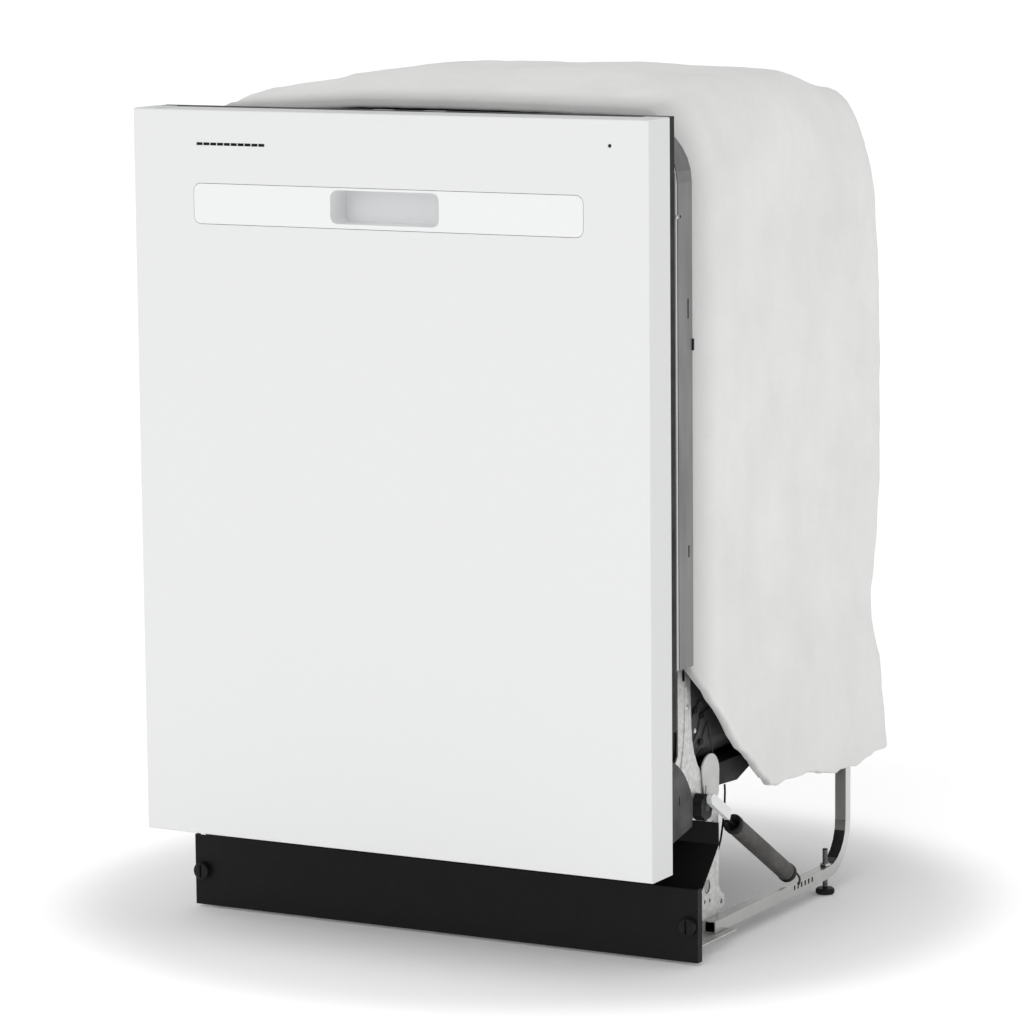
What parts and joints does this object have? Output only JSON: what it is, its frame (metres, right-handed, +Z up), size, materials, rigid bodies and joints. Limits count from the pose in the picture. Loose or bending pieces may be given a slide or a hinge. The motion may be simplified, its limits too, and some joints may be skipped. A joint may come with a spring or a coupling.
{
  "type": "built in dishwasher",
  "caption": "Full-size built-in dishwasher with a drop-down white door, finger-pocket handle, black toe panel, side rails and a fibre blanket over the tub.",
  "frame": {"origin": "on the floor, below the middle of the appliance's width and depth", "axes": "+X to the right seen from the front, the door faces -Y, +Z up"},
  "size_m": [0.611, 0.598, 0.912],
  "materials": {
    "white_enamel": "smooth white enamel, semi-gloss",
    "white_plastic": "smooth moulded white",
    "black_plastic": "satin moulded black",
    "black_paint": "satin black paint",
    "galvanised_steel": "zinc coated, dull spangle",
    "bright_steel": "bright plated square tube",
    "dark_steel": "dark phosphated steel",
    "stainless_steel": "satin stainless sheet",
    "tub_grey": "dark grey moulded tub",
    "mastic": "black damping layer",
    "grey_rubber": "matt seal rubber",
    "fibre_batt": "off-white needled fibre batt",
    "grey_nylon": "translucent grey moulding",
    "spring_sleeve": "taupe grey fibre sleeve",
    "rack_coating": "grey dipped wire",
    "heater_sheath": "heat-tinted sheath"
  },
  "bodies": {
    "chassis": {"access_panel": "black_paint", "bracket_left": "galvanised_steel", "bracket_right": "galvanised_steel", "cross_member": "galvanised_steel", "door_spring_left": "dark_steel", "door_spring_right": "dark_steel", "drain_pump": "white_plastic", "feed_tube": "grey_nylon", "harness_lead": "black_plastic", "heating_element": "heater_sheath", "insulation_blanket": "fibre_batt", "junction_box": "galvanised_steel", "rail_left": "bright_steel", "rail_right": "bright_steel", "spring_sleeve_left": "spring_sleeve", "spring_sleeve_right": "spring_sleeve", "sump": "black_plastic", "toe_panel": "black_paint", "tub": "tub_grey", "tub_back": "tub_grey", "tub_collar": "galvanised_steel", "tub_gasket": "grey_rubber", "under_tray": "mastic", "wash_motor": "grey_nylon"},
    "door": {"door_panel": "white_enamel", "handle_bezel": "white_plastic", "door_liner": "stainless_steel", "console_frame": "black_plastic", "door_latch": "black_plastic", "dispenser_body": "grey_nylon", "hinge_arm_left": "dark_steel", "hinge_arm_right": "dark_steel"},
    "link_left": {"spring_link_left": "white_plastic"},
    "roller_left": {"spring_roller_left": "black_plastic"},
    "knob_left": {"toe_knob_left": "black_plastic"},
    "leg_front_left": {"foot_front_left": "black_plastic"},
    "leg_rear_left": {"foot_rear_left": "black_plastic"},
    "link_right": {"spring_link_right": "white_plastic"},
    "roller_right": {"spring_roller_right": "black_plastic"},
    "knob_right": {"toe_knob_right": "black_plastic"},
    "leg_front_right": {"foot_front_right": "black_plastic"},
    "leg_rear_right": {"foot_rear_right": "black_plastic"},
    "button_1": {"console_button_1": "grey_nylon"},
    "button_2": {"console_button_2": "grey_nylon"},
    "lid": {"dispenser_lid": "grey_nylon"},
    "cap": {"rinse_aid_cap": "black_plastic"},
    "filter_unit": {"filter": "grey_nylon"},
    "lower_arm": {"lower_spray_arm": "grey_nylon"},
    "rack_upper": {"upper_rack_floor": "rack_coating", "upper_rack_front": "rack_coating", "upper_rack_back": "rack_coating", "upper_rack_left": "rack_coating", "upper_rack_right": "rack_coating"},
    "upper_arm": {"upper_spray_arm": "grey_nylon"},
    "rack_lower": {"lower_rack_floor": "rack_coating", "lower_rack_front": "rack_coating", "lower_rack_back": "rack_coating", "lower_rack_left": "rack_coating", "lower_rack_right": "rack_coating"},
    "basket": {"silverware_basket": "grey_nylon"}
  },
  "joints": [
    {"name": "door_hinge", "type": "hinge", "parent": "chassis", "child": "door", "pos_m": [0, -0.249, 0.185], "axis": [1, 0, 0], "range_deg": [0, 90], "stiffness_Nm_per_rad": 15.5},
    {"name": "spring_link_left_slide", "type": "slide", "parent": "chassis", "child": "link_left", "axis": [0, -0.8583, 0.5131], "range_m": [0, 0.03]},
    {"name": "spring_roller_left_turn", "type": "hinge", "parent": "chassis", "child": "roller_left", "pos_m": [-0.2828, -0.15, 0.155], "axis": [1, 0, 0], "range_deg": [0, 120]},
    {"name": "toe_knob_left_turn", "type": "hinge", "parent": "chassis", "child": "knob_left", "pos_m": [-0.2925, -0.202, 0.041], "axis": [0, 1, 0], "range_deg": [0, 90]},
    {"name": "foot_front_left_level", "type": "slide", "parent": "chassis", "child": "leg_front_left", "axis": [0, 0, -1], "range_m": [0, 0.02]},
    {"name": "foot_rear_left_level", "type": "slide", "parent": "chassis", "child": "leg_rear_left", "axis": [0, 0, -1], "range_m": [0, 0.02]},
    {"name": "spring_link_right_slide", "type": "slide", "parent": "chassis", "child": "link_right", "axis": [0, -0.8583, 0.5131], "range_m": [0, 0.03]},
    {"name": "spring_roller_right_turn", "type": "hinge", "parent": "chassis", "child": "roller_right", "pos_m": [0.2828, -0.15, 0.155], "axis": [1, 0, 0], "range_deg": [0, 120]},
    {"name": "toe_knob_right_turn", "type": "hinge", "parent": "chassis", "child": "knob_right", "pos_m": [0.2925, -0.202, 0.041], "axis": [0, 1, 0], "range_deg": [0, 90]},
    {"name": "foot_front_right_level", "type": "slide", "parent": "chassis", "child": "leg_front_right", "axis": [0, 0, -1], "range_m": [0, 0.02]},
    {"name": "foot_rear_right_level", "type": "slide", "parent": "chassis", "child": "leg_rear_right", "axis": [0, 0, -1], "range_m": [0, 0.02]},
    {"name": "button_1_press", "type": "slide", "parent": "door", "child": "button_1", "axis": [0, 0, -1], "range_m": [0, 0.001], "stiffness_N_per_m": 400},
    {"name": "button_2_press", "type": "slide", "parent": "door", "child": "button_2", "axis": [0, 0, -1], "range_m": [0, 0.001], "stiffness_N_per_m": 400},
    {"name": "dispenser_lid_swing", "type": "hinge", "parent": "door", "child": "lid", "pos_m": [-0.092, -0.2165, 0.54], "axis": [0, 0, 1], "range_deg": [0, 95]},
    {"name": "rinse_cap_turn", "type": "hinge", "parent": "door", "child": "cap", "pos_m": [0.03, -0.2177, 0.54], "axis": [0, 1, 0], "range_deg": [0, 90]},
    {"name": "filter_turn", "type": "hinge", "parent": "chassis", "child": "filter_unit", "pos_m": [0.115, 0.061, 0.15], "axis": [0, 0, 1], "range_deg": [0, 90]},
    {"name": "lower_arm_spin", "type": "hinge", "parent": "chassis", "child": "lower_arm", "pos_m": [0, 0.006, 0.218], "axis": [0, 0, 1], "continuous": true},
    {"name": "upper_rack_slide", "type": "slide", "parent": "chassis", "child": "rack_upper", "axis": [0, -1, 0], "range_m": [0, 0.025]},
    {"name": "upper_arm_spin", "type": "hinge", "parent": "rack_upper", "child": "upper_arm", "pos_m": [0, 0.006, 0.588], "axis": [0, 0, 1], "continuous": true},
    {"name": "lower_rack_slide", "type": "slide", "parent": "chassis", "child": "rack_lower", "axis": [0, -1, 0], "range_m": [0, 0.025]},
    {"name": "basket_lift", "type": "slide", "parent": "rack_lower", "child": "basket", "axis": [0, 0, 1], "range_m": [0, 0.2]}
  ],
  "couplings": [
    {"joint": "spring_link_left_slide", "follows": "door_hinge", "m_per_rad": 0.019},
    {"joint": "spring_roller_left_turn", "follows": "door_hinge", "ratio": 1.31},
    {"joint": "spring_link_right_slide", "follows": "door_hinge", "m_per_rad": 0.019},
    {"joint": "spring_roller_right_turn", "follows": "door_hinge", "ratio": 1.31}
  ]
}
